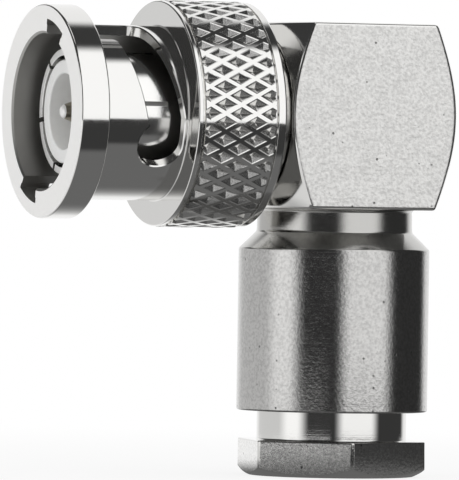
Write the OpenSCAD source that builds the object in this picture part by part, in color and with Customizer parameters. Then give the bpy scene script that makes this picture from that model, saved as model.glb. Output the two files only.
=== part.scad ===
// Right-angle BNC plug for clamped coaxial cable.
// The cable axis is +Z and the clamp nut stands on z = 0. The plug points along -X.

/* [Layout] */
// Height of the plug axis above the bottom of the clamp nut
plug_axis_z = 23.1; // [22.6:0.1:26]
// Facets used for round shapes
facets = 96; // [48:8:160]

/* [Block] */
// Side of the square bar that the block is made from
block_side = 11.9; // [11.6:0.1:13]
// Distance from the cable axis to the front end face
block_front = 5.75; // [5.5:0.05:5.8]
// Distance from the cable axis to the rear end face
block_rear = 5.9; // [5.7:0.1:8]
// Diameter of the flat circle left on each turned end
block_end_d = 11.3; // [10:0.1:11.6]
// Angle of the turned end cones, measured from the end face
block_end_angle = 29; // [20:1:35]
// Diameter of the bore along the plug axis
block_bore_d = 7; // [6.6:0.1:7.4]
// Diameter of the hole for the cable's inner conductor
cable_core_d = 3.4; // [3:0.1:3.8]

/* [Coupling nut] */
// Distance from the cable axis to the front face of the nut
nut_front = 20.5; // [20.3:0.1:22]
// Distance from the cable axis to the rear face of the nut
nut_rear = 6.6; // [6.6:0.05:6.7]
// Outside diameter of the front flange
nut_ring_d = 13.6; // [13:0.1:15]
// Length of the front flange
nut_ring_len = 1.95; // [1.5:0.05:2.4]
// Wall of the slotted barrel
barrel_wall = 0.625; // [0.55:0.025:0.8]
// Outside diameter of the knurled band
knurl_d = 14.5; // [14:0.1:16]
// Rear end of the knurled band
knurl_rear = 7.3; // [7.2:0.05:7.6]
// Length of the knurled band
knurl_len = 4.9; // [4.5:0.1:4.9]
// Number of diamonds round the knurled band
knurl_count = 40; // [30:1:46]
// Depth of each diamond pit
knurl_depth = 0.34; // [0.2:0.02:0.45]
// Width of the raised bands between the pits
knurl_band = 0.3; // [0.2:0.02:0.5]

/* [Bayonet slots] */
// Width of the slots for the socket's studs
slot_w = 2.5; // [2.2:0.05:2.6]
// Depth of the entry grooves in the bore
slot_depth = 0.95; // [0.85:0.05:1.15]
// Angle of the entry grooves from the top of the nut
slot_entry_angle = 21; // [0:1:40]
// Angle that the ramp turns from the entry to the locking hole
slot_sweep = 91; // [80:1:100]
// Advance of the ramp along the axis for each turned degree
slot_lead = 0.0213; // [0.018:0.0005:0.025]
// Diameter of the locking hole
lock_hole_d = 3; // [2.8:0.1:3.2]
// Distance that the studs spring forward from the end of the ramp into the locking hole
lock_step = 0.65; // [0.4:0.05:0.8]
// Distance from the cable axis to the centre of the locking hole
lock_hole_x = 14.45; // [14.3:0.05:14.6]

/* [Plug interface] */
// Distance from the cable axis to the tip of the outer contact
contact_front = 19; // [18.6:0.1:19.2]
// Inside diameter of the outer contact
contact_bore_d = 7.1; // [6.9:0.05:7.3]
// Wall of the outer contact
contact_wall = 0.5; // [0.4:0.05:0.55]
// Space round the outer contact for the shell of the mating socket
socket_space = 0.9; // [0.85:0.05:0.95]
// Number of slits in the outer contact
contact_slits = 6; // [4:2:8]
// Width of the slits
contact_slit_w = 0.3; // [0.2:0.05:0.5]
// Length of the slits
contact_slit_len = 5.5; // [4:0.1:6]
// Gap between the insulator cup and the outer contact's fingers
cup_gap = 0.25; // [0.15:0.05:0.35]
// Inside diameter of the insulator cup
cup_bore_d = 4.83; // [4.7:0.01:5]
// Depth of the insulator cup
cup_depth = 5.6; // [5.2:0.1:6]
// Diameter of the centre pin
pin_d = 1.35; // [1.3:0.01:1.4]
// Diameter of the centre pin where it passes through the floor of the cup
pin_neck_d = 1.75; // [1.7:0.05:1.9]
// Diameter of the centre pin's body
pin_body_d = 2.2; // [2:0.05:2.4]
// Thickness of the sealing ring at the foot of the outer contact
gasket_ring_t = 1.1; // [0.8:0.1:1.4]

/* [Nut retention] */
// Wall of the neck that the nut turns on
neck_wall = 0.55; // [0.5:0.05:0.6]
// Gap between the nut's bore and the flange that keeps the nut on
flange_gap = 0.1; // [0.08:0.02:0.2]
// Thickness of that flange
flange_t = 0.7; // [0.5:0.05:0.8]
// Thickness of the nut's inward rear flange
nut_web = 1.4; // [1.2:0.05:1.5]
// Thickness of the flat thrust washer
thrust_t = 0.3; // [0.2:0.05:0.35]
// Thickness of the sheet of each wave washer
wave_sheet = 0.2; // [0.15:0.05:0.25]
// Height of each wave washer when free
wave_h = 0.44; // [0.4:0.02:0.5]

/* [Cable entry] */
// Outside diameter of the sleeve
sleeve_d = 12.3; // [12:0.1:14]
// Height of the sleeve's lower edge
sleeve_bottom = 4.17; // [3.8:0.01:4.4]
// Height at which the sleeve's top cone starts
sleeve_shoulder = 14.6; // [14.2:0.1:15]
// Outside diameter of the sleeve's neck
sleeve_neck_d = 9.95; // [9.6:0.05:10.4]
// Bore for the clamping parts
sleeve_bore_d = 9.8; // [9.6:0.05:10]
// Height of the clamp seat's wide end
seat_z = 12.6; // [12.5:0.05:12.8]

/* [Cable clamp] */
// Width across the flats of the clamp nut
hex_af = 11; // [10.6:0.1:13]
// Height of the hexagon
hex_h = 2.3; // [2:0.05:2.8]
// Angle of the hexagon's first corner about the cable axis
hex_turn = -101.7; // [-120:0.1:-60]
// Diameter of the nut's plain shank
shank_d = 9.65; // [9.4:0.05:9.65]
// Height of the shank's top
shank_top = 7.4; // [7:0.1:7.6]
// Bore for the cable
cable_bore_d = 5.5; // [5:0.1:6]
// Thickness of the slip washer
washer_t = 0.6; // [0.4:0.05:0.8]
// Thickness of the cable gasket
gasket_t = 2.3; // [2.1:0.05:2.5]

/* [Hidden] */
$fn = facets;
// running clearance on a radius, and the small clearance of a fixed fit
running = 0.05;
fixed = 0.01;
// gap between faces that lie on each other
lying = 0.02;
eps = 0.01;
// rings of the plug interface, from the inside outwards
cup_d = contact_bore_d - 2 * cup_gap;
contact_d = contact_bore_d + 2 * contact_wall;
contact_step = 0.3;
bush_bore_d = contact_d - 2 * contact_step;
neck_d = bush_bore_d + 2 * neck_wall;
land_d = contact_d + 0.4;
nut_bore_d = contact_d + 2 * socket_space;
flange_d = nut_bore_d - 2 * flange_gap;
nut_barrel_d = nut_bore_d + 2 * barrel_wall;
slot_floor_d = nut_bore_d + 2 * slot_depth;
// parts of the nut along the plug axis
knurl_front = knurl_rear + knurl_len;
knurl_chamfer = 0.4;
ring_rear = nut_front - nut_ring_len;
web_front = nut_rear + nut_web;
// the ramps start here and end inside the locking holes; their rear edge goes no further back
slot_start_x = lock_hole_x - lock_step + slot_lead * slot_sweep;
ramp_sweep = slot_sweep - 4;
ramp_rear_x = lock_hole_x - lock_hole_d / 2 + 0.1;
groove_rear_x = slot_start_x - slot_w / 2 + 0.1;
// how far the slots' cutting shapes stand out of both sides of the barrel's wall
slot_reach = 0.5;
// stack of springs between the nut's web and the bush's flange
thrust_rear = web_front + lying;
wave_rear_x = thrust_rear + thrust_t + lying;
wave_front_x = wave_rear_x + wave_h + lying;
flange_rear = wave_front_x + wave_h + lying;
flange_front = flange_rear + flange_t;
// front of the sealing ring, which lies on the contact's land
gasket_ring_front = flange_front + fixed + gasket_ring_t;
// front face of the block's collar, where the bush's neck starts
collar_front = nut_rear - running;
collar_wall = 0.5;
collar_d = neck_d + 2 * collar_wall;
spigot_rear = block_front - 1.3;
cup_floor = contact_front - cup_depth;
cup_floor_t = 1.5;
pin_tip = contact_front + 0.15;
pin_tail_rear = -1.9;
fork_w = 0.95;
fork_len = 2.4;
// block and sleeve
block_bottom = plug_axis_z - block_side / 2;
sleeve_spigot_d = 8;
sleeve_spigot_len = 1.5;
sleeve_cone_h = (sleeve_d - sleeve_neck_d) / 2;
seat_bore_d = cable_core_d + 0.2;
// access cap in the rear end of the block
cap_d = 8.8;
cap_depth = 1.5;
cap_slot_w = 1;
cap_slot_depth = 0.7;
cap_insulator_t = 1;
elbow_rear = block_rear - cap_depth - cap_insulator_t;
// cable clamp stack, from the nut upwards
cable_clear_d = cable_bore_d - 0.2;
washer_bottom = shank_top + lying;
gasket_bottom = washer_bottom + washer_t + lying;
gasket_top = gasket_bottom + gasket_t;
clamp_rim_d = sleeve_bore_d - 0.3;
clamp_rim_z = gasket_top + lying;
clamp_rim_h = 0.5;
clamp_nose_d = seat_bore_d + 0.4;
groove_r = (clamp_rim_d + cable_clear_d) / 4;
groove_half = 0.75;
groove_depth = 0.9;
mouth_chamfer = 0.25;

nickel = "silver";
plated_bronze = "gainsboro";
white_plastic = "white";
black_rubber = "dimgray";
gold = "gold";

// Places a shape that was drawn round +Z so that its +Z becomes the plug's forward direction.
module along_plug() {
    translate([0, 0, plug_axis_z])
        rotate([0, -90, 0])
            children();
}

// A plain ring round +Z, from height z0 to z1.
module ring(d_out, d_in, z0, z1) {
    translate([0, 0, z0])
        difference() {
            cylinder(d = d_out, h = z1 - z0);
            translate([0, 0, -1]) cylinder(d = d_in, h = z1 - z0 + 2);
        }
}

// ---- block ----

// The two turned cones that cut the corners off the ends of the square bar.
module block_turning() {
    reach = block_side;
    drop = (reach - block_end_d / 2) * tan(block_end_angle);
    rotate_extrude()
        polygon([
            [0, -block_rear], [block_end_d / 2, -block_rear], [reach, -block_rear + drop],
            [reach, block_front - drop], [block_end_d / 2, block_front], [0, block_front]
        ]);
}

module block() {
    color(nickel)
    difference() {
        along_plug() {
            intersection() {
                translate([-block_side / 2, -block_side / 2, -block_rear])
                    cube([block_side, block_side, block_rear + block_front]);
                block_turning();
            }
            // collar that stops the coupling nut
            translate([0, 0, block_front - 1]) cylinder(d = collar_d, h = collar_front - block_front + 1);
        }
        along_plug() {
            // bore for the insulator and the pin
            translate([0, 0, -block_rear - 1]) cylinder(d = block_bore_d, h = block_rear + collar_front + 2);
            // seat of the bush
            translate([0, 0, spigot_rear])
                cylinder(d = neck_d + 2 * fixed, h = collar_front - spigot_rear + 1);
            // seat of the access cap
            translate([0, 0, -block_rear - 1]) cylinder(d = cap_d, h = cap_depth + 1);
        }
        // seat of the sleeve, and the way through for the inner conductor
        translate([0, 0, block_bottom - 1]) cylinder(d = sleeve_spigot_d, h = sleeve_spigot_len + 1);
        translate([0, 0, block_bottom]) cylinder(d = cable_core_d, h = block_side / 2);
    }
}

// ---- rear access ----

module access_cap() {
    color(nickel)
    along_plug()
        difference() {
            translate([0, 0, -block_rear])
                cylinder(d = cap_d - 2 * fixed, h = cap_depth);
            translate([-cap_d, -cap_slot_w / 2, -block_rear - 1])
                cube([2 * cap_d, cap_slot_w, cap_slot_depth + 1]);
        }
}

module cap_insulator() {
    color(white_plastic)
    along_plug()
        translate([0, 0, -block_rear + cap_depth])
            cylinder(d = block_bore_d - 2 * fixed, h = cap_insulator_t);
}

module elbow_insulator() {
    color(white_plastic)
    difference() {
        along_plug()
            ring(block_bore_d - 2 * fixed, pin_body_d + 2 * fixed, -elbow_rear, spigot_rear - fixed);
        // opening for the inner conductor and for the soldering iron
        translate([0, 0, plug_axis_z - block_bore_d]) cylinder(d = cable_core_d, h = block_bore_d);
        translate([0, -cable_core_d / 2, plug_axis_z - cable_core_d / 2])
            cube([elbow_rear + 1, cable_core_d, cable_core_d]);
    }
}

// ---- plug interface ----

module neck_bush() {
    color(nickel)
    along_plug()
        rotate_extrude()
            polygon([
                [bush_bore_d / 2, spigot_rear + fixed], [neck_d / 2, spigot_rear + fixed],
                [neck_d / 2, flange_rear], [flange_d / 2, flange_rear],
                [flange_d / 2, flange_front], [bush_bore_d / 2, flange_front]
            ]);
}

module outer_contact() {
    tip = 0.25;
    foot_d = bush_bore_d - 2 * fixed;
    color(plated_bronze)
    along_plug()
        difference() {
            rotate_extrude()
                polygon([
                    [contact_bore_d / 2, spigot_rear + fixed], [foot_d / 2, spigot_rear + fixed],
                    [foot_d / 2, flange_front + fixed], [land_d / 2, flange_front + fixed],
                    [land_d / 2, gasket_ring_front], [contact_d / 2, gasket_ring_front],
                    [contact_d / 2, contact_front - tip], [contact_d / 2 - tip / 2, contact_front],
                    [contact_bore_d / 2, contact_front]
                ]);
            // slits that make the spring fingers
            for (k = [0 : contact_slits - 1])
                rotate([0, 0, 360 / contact_slits * (k + 0.1)])
                    translate([0, -contact_slit_w / 2, contact_front - contact_slit_len])
                        cube([contact_d, contact_slit_w, contact_slit_len + 1]);
        }
}

module front_insulator() {
    // the cup is thinner where the fingers spring inwards
    cup_rear = contact_front - contact_slit_len - 0.3;
    color(white_plastic)
    along_plug()
        rotate_extrude()
            polygon([
                [pin_body_d / 2 + fixed, spigot_rear + fixed],
                [contact_bore_d / 2 - fixed, spigot_rear + fixed],
                [contact_bore_d / 2 - fixed, cup_rear - cup_gap], [cup_d / 2, cup_rear],
                [cup_d / 2, contact_front], [cup_bore_d / 2, contact_front],
                [cup_bore_d / 2, cup_floor], [pin_neck_d / 2 + fixed, cup_floor],
                [pin_neck_d / 2 + fixed, cup_floor - cup_floor_t],
                [pin_body_d / 2 + fixed, cup_floor - cup_floor_t]
            ]);
}

module centre_pin() {
    nose = pin_d / 2;
    shoulder = cup_floor - cup_floor_t - 2 * fixed;
    color(gold)
    along_plug()
        difference() {
            rotate_extrude()
                polygon([
                    [0, pin_tail_rear], [pin_body_d / 2, pin_tail_rear], [pin_body_d / 2, shoulder],
                    [pin_neck_d / 2, shoulder], [pin_neck_d / 2, cup_floor], [pin_d / 2, cup_floor],
                    [pin_d / 2, pin_tip - nose * 1.2], [pin_d / 4, pin_tip - nose * 0.35],
                    [pin_d / 10, pin_tip], [0, pin_tip]
                ]);
            // fork that takes the cable's inner conductor
            translate([-pin_body_d, -fork_w / 2, pin_tail_rear - 1])
                cube([2 * pin_body_d, fork_w, fork_len + 1]);
        }
}

module interface_gasket() {
    color(black_rubber)
    along_plug()
        ring(nut_bore_d - 0.4, land_d + 2 * fixed, gasket_ring_front - gasket_ring_t, gasket_ring_front);
}

// ---- coupling nut and its springs ----

// A wave washer: a flat ring bent into three waves, drawn round +Z between z = 0 and wave_h.
module wave_washer() {
    steps = 48;
    r_in = neck_d / 2 + 0.1;
    r_out = flange_d / 2 - 0.05;
    rise = (wave_h - wave_sheet) / 2;
    function wave_z(k) = rise * (1 + sin(3 * 360 * k / steps));
    points = [
        for (k = [0 : steps - 1])
            for (corner = [[r_in, 0], [r_out, 0], [r_out, wave_sheet], [r_in, wave_sheet]])
                [
                    corner[0] * cos(360 * k / steps), corner[0] * sin(360 * k / steps),
                    wave_z(k) + corner[1]
                ]
    ];
    faces = [
        for (k = [0 : steps - 1])
            for (side = [0 : 3])
                let (
                    a = 4 * k + side,
                    b = 4 * k + (side + 1) % 4,
                    c = 4 * ((k + 1) % steps) + (side + 1) % 4,
                    d = 4 * ((k + 1) % steps) + side
                )
                each [[a, b, c], [a, c, d]]
    ];
    polyhedron(points = points, faces = faces);
}

module wave_washer_front() {
    color(nickel)
    along_plug()
        translate([0, 0, wave_front_x]) rotate([0, 0, 60]) wave_washer();
}

module wave_washer_rear() {
    color(nickel)
    along_plug()
        translate([0, 0, wave_rear_x]) wave_washer();
}

module thrust_washer() {
    color(nickel)
    along_plug()
        ring(nut_bore_d - 2 * running, neck_d + 2 * running, thrust_rear, thrust_rear + thrust_t);
}

// One diamond pit: a four-sided pyramid, long along +Z, with its point towards the axis.
module knurl_pit(half_w, half_l) {
    r = knurl_d / 2;
    top = 0.3;
    grow = 1 + top / knurl_depth;
    polyhedron(
        points = [
            [r - knurl_depth, 0, 0], [r + top, half_w * grow, 0], [r + top, 0, half_l * grow],
            [r + top, -half_w * grow, 0], [r + top, 0, -half_l * grow]
        ],
        faces = [[0, 1, 2], [0, 2, 3], [0, 3, 4], [0, 4, 1], [4, 3, 2, 1]]
    );
}

module knurl_pits() {
    pitch = PI * knurl_d / knurl_count;
    length_pitch = pitch * 1.86;
    rows = 2 * round(knurl_len / length_pitch) + 1;
    half_w = (pitch - knurl_band * 1.15) / 2;
    half_l = half_w * 1.86;
    middle = knurl_rear + knurl_len / 2;
    for (row = [0 : rows - 1])
        for (k = [0 : knurl_count - 1])
            rotate([0, 0, 360 / knurl_count * (k + (row % 2) / 2)])
                translate([0, 0, middle + (row - (rows - 1) / 2) * length_pitch / 2])
                    knurl_pit(half_w, half_l);
}

// The helical ramp of one bayonet slot, swept round the barrel from the entry to the locking hole.
module slot_ramp() {
    steps = 24;
    r_in = nut_bore_d / 2 - slot_reach;
    r_out = nut_barrel_d / 2 + slot_reach;
    points = [
        for (k = [0 : steps])
            let (
                turn = ramp_sweep * k / steps,
                x = slot_start_x - slot_lead * turn,
                rear_x = max(x - slot_w / 2, ramp_rear_x),
                front_x = x + slot_w / 2
            )
            for (corner = [[r_in, rear_x], [r_out, rear_x], [r_out, front_x], [r_in, front_x]])
                [corner[0] * cos(turn), -corner[0] * sin(turn), corner[1]]
    ];
    sides = [
        for (k = [0 : steps - 1])
            for (side = [0 : 3])
                let (a = 4 * k + side, b = 4 * k + (side + 1) % 4)
                each [[a, a + 4, b + 4], [a, b + 4, b]]
    ];
    last = 4 * steps;
    polyhedron(
        points = points,
        faces = concat([[0, 1, 2, 3]], sides, [[last + 3, last + 2, last + 1, last]])
    );
}

// One bayonet slot: entry groove, ramp and locking hole, with the entry at the top.
module bayonet_slot() {
    // entry groove, open to the front
    intersection() {
        translate([0, 0, groove_rear_x]) cylinder(d = slot_floor_d, h = nut_front);
        translate([0, -slot_w / 2, groove_rear_x]) cube([slot_floor_d, slot_w, nut_front]);
    }
    slot_ramp();
    // rounded heel of the slot behind the entry
    slot_hole(0, slot_start_x, slot_w);
    // locking hole
    slot_hole(slot_sweep, lock_hole_x, lock_hole_d);
}

// A round hole through one side of the barrel, turned on from the slot's entry.
module slot_hole(turn, x, d) {
    rotate([0, 0, -turn])
        rotate([0, 90, 0])
            translate([-x, 0, nut_bore_d / 2 - slot_reach])
                cylinder(d = d, h = barrel_wall + 2 * slot_reach);
}

module nut_profile() {
    edge = 0.12;
    shoulder_fillet = 0.5;
    shoulder_x = knurl_front + knurl_chamfer;
    barrel_r = nut_barrel_d / 2;
    polygon(concat(
        [
            [neck_d / 2 + running, nut_rear], [knurl_d / 2 - 0.5, nut_rear],
            [knurl_d / 2 - 0.4, nut_rear + 0.1], [knurl_d / 2, knurl_rear],
            [knurl_d / 2, knurl_front], [knurl_d / 2 - knurl_chamfer, shoulder_x]
        ],
        // dished shoulder, with its fillet up to the barrel
        [
            for (a = [0 : 15 : 90])
                [
                    barrel_r + shoulder_fillet * (1 - sin(a)),
                    shoulder_x - 0.1 + shoulder_fillet * (1 - cos(a))
                ]
        ],
        [
            [barrel_r, ring_rear], [nut_ring_d / 2 - edge, ring_rear],
            [nut_ring_d / 2, ring_rear + edge], [nut_ring_d / 2, nut_front - edge],
            [nut_ring_d / 2 - edge, nut_front], [nut_bore_d / 2 + 0.35, nut_front],
            [nut_bore_d / 2, nut_front - 0.35], [nut_bore_d / 2, web_front],
            [neck_d / 2 + running, web_front]
        ]
    ));
}

module coupling_nut() {
    color(nickel)
    along_plug()
        difference() {
            difference() {
                rotate_extrude() nut_profile();
                knurl_pits();
            }
            for (half = [0, 180])
                rotate([0, 0, half - slot_entry_angle]) bayonet_slot();
        }
}

// ---- cable entry ----

module entry_sleeve() {
    neck_r = sleeve_neck_d / 2;
    body_r = sleeve_d / 2;
    cone_top = sleeve_shoulder + sleeve_cone_h;
    seat_top = seat_z + (sleeve_bore_d - seat_bore_d) / 2;
    spigot_top = block_bottom + sleeve_spigot_len - lying;
    color(nickel)
    rotate_extrude()
        polygon([
            [sleeve_bore_d / 2 + 0.3, sleeve_bottom], [body_r - 0.1, sleeve_bottom],
            [body_r, sleeve_bottom + 0.1], [body_r, sleeve_shoulder - 0.15],
            [body_r - 0.1, sleeve_shoulder], [neck_r + 0.25, cone_top - 0.2],
            [neck_r + 0.07, cone_top], [neck_r, cone_top + 0.25],
            [neck_r, block_bottom - 0.2], [neck_r + 0.15, block_bottom],
            [sleeve_spigot_d / 2 - fixed, block_bottom],
            [sleeve_spigot_d / 2 - fixed, spigot_top], [seat_bore_d / 2, spigot_top],
            [seat_bore_d / 2, seat_top],
            [sleeve_bore_d / 2, seat_z], [sleeve_bore_d / 2, sleeve_bottom + 0.3]
        ]);
}

module braid_clamp() {
    rim_r = clamp_rim_d / 2;
    nose_r = clamp_nose_d / 2;
    rim_top = clamp_rim_z + clamp_rim_h;
    color(plated_bronze)
    rotate_extrude()
        polygon([
            [seat_bore_d / 2, clamp_rim_z], [groove_r - groove_half + 0.12, clamp_rim_z],
            [groove_r, clamp_rim_z - groove_depth + 0.15], [groove_r + groove_half - 0.12, clamp_rim_z],
            [rim_r, clamp_rim_z], [rim_r, rim_top], [nose_r, rim_top + rim_r - nose_r],
            [seat_bore_d / 2, rim_top + rim_r - nose_r]
        ]);
}

module cable_gasket() {
    r_out = clamp_rim_d / 2;
    r_in = cable_clear_d / 2;
    color(black_rubber)
    rotate_extrude()
        polygon([
            [r_in, gasket_bottom], [r_out, gasket_bottom], [r_out, gasket_top],
            [groove_r + groove_half, gasket_top], [groove_r, gasket_top - groove_depth],
            [groove_r - groove_half, gasket_top], [r_in, gasket_top]
        ]);
}

module clamp_washer() {
    color(nickel)
    ring(clamp_rim_d, cable_clear_d, washer_bottom, washer_bottom + washer_t);
}

module clamp_nut() {
    corner_r = hex_af / sqrt(3);
    hex_circle_r = hex_af / 2 - 0.2;
    color(nickel)
    difference() {
        union() {
            intersection() {
                rotate([0, 0, hex_turn]) cylinder(r = corner_r, h = hex_h, $fn = 6);
                // chamfer that is turned on the lower side
                cylinder(r1 = hex_circle_r, r2 = hex_circle_r + hex_h * 2, h = hex_h);
            }
            cylinder(d = shank_d, h = shank_top);
        }
        translate([0, 0, -1]) cylinder(d = cable_bore_d, h = shank_top + 2);
        // mouth chamfer of the cable bore
        translate([0, 0, -eps])
            cylinder(d1 = cable_bore_d + 2 * mouth_chamfer, d2 = cable_bore_d, h = mouth_chamfer + eps);
    }
}

block();
access_cap();
cap_insulator();
elbow_insulator();
neck_bush();
outer_contact();
front_insulator();
centre_pin();
interface_gasket();
wave_washer_front();
wave_washer_rear();
thrust_washer();
coupling_nut();
entry_sleeve();
braid_clamp();
cable_gasket();
clamp_washer();
clamp_nut();
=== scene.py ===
# Right-angle bayonet coaxial plug: nickel-plated block, coupling nut, cable entry and clamp nut, with white
# insulators and the pieces inside.
# The scene is in metres, +Z up; shapes are worked out in millimetres and scaled when their mesh is made.
# The cable axis is Z, the plug points along -X, and the clamp nut stands on the floor at z = 0.
import math
from itertools import product

import bmesh
import bpy
import numpy as np
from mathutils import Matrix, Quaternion, Vector
from mathutils.geometry import delaunay_2d_cdt


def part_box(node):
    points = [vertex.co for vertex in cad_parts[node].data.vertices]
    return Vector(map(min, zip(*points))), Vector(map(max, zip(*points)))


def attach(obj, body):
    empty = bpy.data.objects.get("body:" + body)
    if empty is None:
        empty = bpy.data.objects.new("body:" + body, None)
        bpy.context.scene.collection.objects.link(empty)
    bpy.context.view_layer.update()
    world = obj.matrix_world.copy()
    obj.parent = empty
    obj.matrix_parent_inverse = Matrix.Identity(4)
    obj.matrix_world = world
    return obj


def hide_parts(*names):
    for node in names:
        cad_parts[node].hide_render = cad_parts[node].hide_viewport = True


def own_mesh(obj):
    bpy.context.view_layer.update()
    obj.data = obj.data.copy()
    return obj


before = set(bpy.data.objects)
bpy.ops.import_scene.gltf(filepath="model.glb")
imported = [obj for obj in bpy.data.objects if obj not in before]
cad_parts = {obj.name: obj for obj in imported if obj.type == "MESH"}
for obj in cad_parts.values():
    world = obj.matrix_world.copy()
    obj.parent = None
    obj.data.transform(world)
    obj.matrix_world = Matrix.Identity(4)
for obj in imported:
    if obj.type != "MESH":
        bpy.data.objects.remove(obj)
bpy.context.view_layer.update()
print("frame loaded:", len(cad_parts), "pieces")

mm = 0.001
mergeDistance = 1e-4  # points closer than this, in millimetres, become one


# Rear end, front end and radius of a node round the plug axis, in millimetres forward of the cable axis.
def plugSpan(node):
    low, high = (np.array(corner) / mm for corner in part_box(node))
    return -high[0], -low[0], (high[1] - low[1]) / 2


# Bottom, top and radius of a node round the cable axis, in millimetres.
def cableSpan(node):
    low, high = (np.array(corner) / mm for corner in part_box(node))
    return low[2], high[2], (high[1] - low[1]) / 2


nutRear, nutFront, nutRadius = plugSpan("coupling_nut")
plugHeight = (cableSpan("coupling_nut")[0] + cableSpan("coupling_nut")[1]) / 2  # height of the plug axis


# Placing shapes: every turned shape is drawn as (along, across, across) round its own axis.

# Local (a, u, w) to the scene: a runs forward along -X, u is up, w is towards -Y.
def alongPlug(points):
    a, u, w = points[..., 0], points[..., 1], points[..., 2]
    return np.stack([-a, -w, u], axis=-1)


# Local (a, u, w) to the scene: a runs up along Z.
def alongCable(points):
    a, u, w = points[..., 0], points[..., 1], points[..., 2]
    return np.stack([u, w, a], axis=-1)


plugCentre = np.array([0, 0, plugHeight])
cableCentre = np.zeros(3)


# Profiles and surfaces.

# Corners (a, r, fillet) joined by straight lines, each corner replaced by an arc of its fillet radius.
# Gives the points, and for the line from each point to the next the true normals at its two ends.
def roundedProfile(corners, closed=True, steps=4):
    c = np.array([corner[:2] for corner in corners], float)
    nextC = np.roll(c, -1, axis=0)
    turnSign = math.copysign(1, np.sum(c[:, 0] * nextC[:, 1] - nextC[:, 0] * c[:, 1]))
    points, normalIn, normalOut = [], [], []
    count = len(corners)
    for i in range(count):
        here, fillet = c[i], corners[i][2]
        into = here - c[i - 1]
        out = c[(i + 1) % count] - here
        into, out = into / np.linalg.norm(into), out / np.linalg.norm(out)
        n1 = turnSign * np.array([into[1], -into[0]])
        n2 = turnSign * np.array([out[1], -out[0]])
        turn = math.atan2(into[0] * out[1] - into[1] * out[0], into @ out)
        if fillet <= 0 or abs(turn) < 1e-3 or (not closed and i in (0, count - 1)):
            points.append(here)
            normalIn.append(n1)
            normalOut.append(n2)
            continue
        back = fillet * math.tan(abs(turn) / 2)
        bend = math.copysign(1, turn) * turnSign  # 1 on an outer corner, -1 on an inner one
        centre = here - into * back - bend * fillet * n1
        arc = np.linspace(0, turn, steps + 1)
        n = np.stack([n1[0] * np.cos(arc) - n1[1] * np.sin(arc),
                      n1[0] * np.sin(arc) + n1[1] * np.cos(arc)], axis=-1)
        for k in range(steps + 1):
            points.append(centre + bend * fillet * n[k])
            normalIn.append(n[k])
            normalOut.append(n[k])
    points, normalIn, normalOut = np.array(points), np.array(normalIn), np.array(normalOut)
    return points, normalOut, np.roll(normalIn, -1, axis=0)


def circleDirections(count):
    turn = np.linspace(0, 2 * math.pi, count, endpoint=False)
    return np.stack([np.cos(turn), np.sin(turn)], axis=-1)


# A profile (a, r) turned round the axis: point (k, m) is (a_k, r_k cos t_m, r_k sin t_m).
def turnedSurface(profile, directions, closed=True):
    points, startNormals, endNormals = profile
    k, m = len(points), len(directions)
    rings = np.empty((k, m, 3))
    rings[..., 0] = points[:, None, 0]
    rings[..., 1:] = points[:, None, 1:2] * directions[None]

    def spread(normals):
        spun = np.empty((k, m, 3))
        spun[..., 0] = normals[:, None, 0]
        spun[..., 1:] = normals[:, None, 1:2] * directions[None]
        return spun

    return ringSurface(rings, spread(startNormals), spread(endNormals), closed)


# Quads between neighbouring rings of points, with a normal for each corner of each quad.
# A ring whose points all meet on the axis becomes one point, and its quads become triangles.
def ringSurface(rings, startNormals, endNormals, closed=True):
    k, m = rings.shape[:2]
    index = np.arange(k * m).reshape(k, m)
    pole = np.abs(rings[..., 1:]).max(axis=(1, 2)) < 1e-7
    index[pole] = index[pole, :1]
    last = k if closed else k - 1
    a, b = index[:last], np.roll(index, -1, axis=0)[:last]
    quads = np.stack([a, np.roll(a, -1, axis=1), np.roll(b, -1, axis=1), b], axis=-1).reshape(-1, 4)
    s, e = startNormals[:last], endNormals[:last]
    normals = np.stack([s, np.roll(s, -1, axis=1), np.roll(e, -1, axis=1), e], axis=2).reshape(-1, 4, 3)
    return rings.reshape(-1, 3), quads, normals


# Normals of triangles, or of flat faces by their first three corners, not brought to length one.
def triangleNormals(tri):
    return np.cross(tri[:, 1] - tri[:, 0], tri[:, 2] - tri[:, 0])


# The surface with its faces wound the way that its normals point.
def facingOut(surface):
    points, faces, normals = surface
    made = triangleNormals(points[np.array([face[:3] for face in faces])])
    wanted = np.array([corner[0] for corner in normals])
    if np.sum(made * wanted) < 0:
        faces = [face[::-1] for face in faces]
        normals = [corner[::-1] for corner in normals]
    return points, faces, normals


# Several surfaces as one. Rings of points that lie on each other are merged later.
def joinSurfaces(*surfaces):
    points, faces, normals, shift = [], [], [], 0
    for p, f, n in map(facingOut, surfaces):
        points.append(p)
        faces.extend((np.asarray(face) + shift) for face in f)
        normals.extend(n)
        shift += len(p)
    return np.concatenate(points), faces, normals


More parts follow.
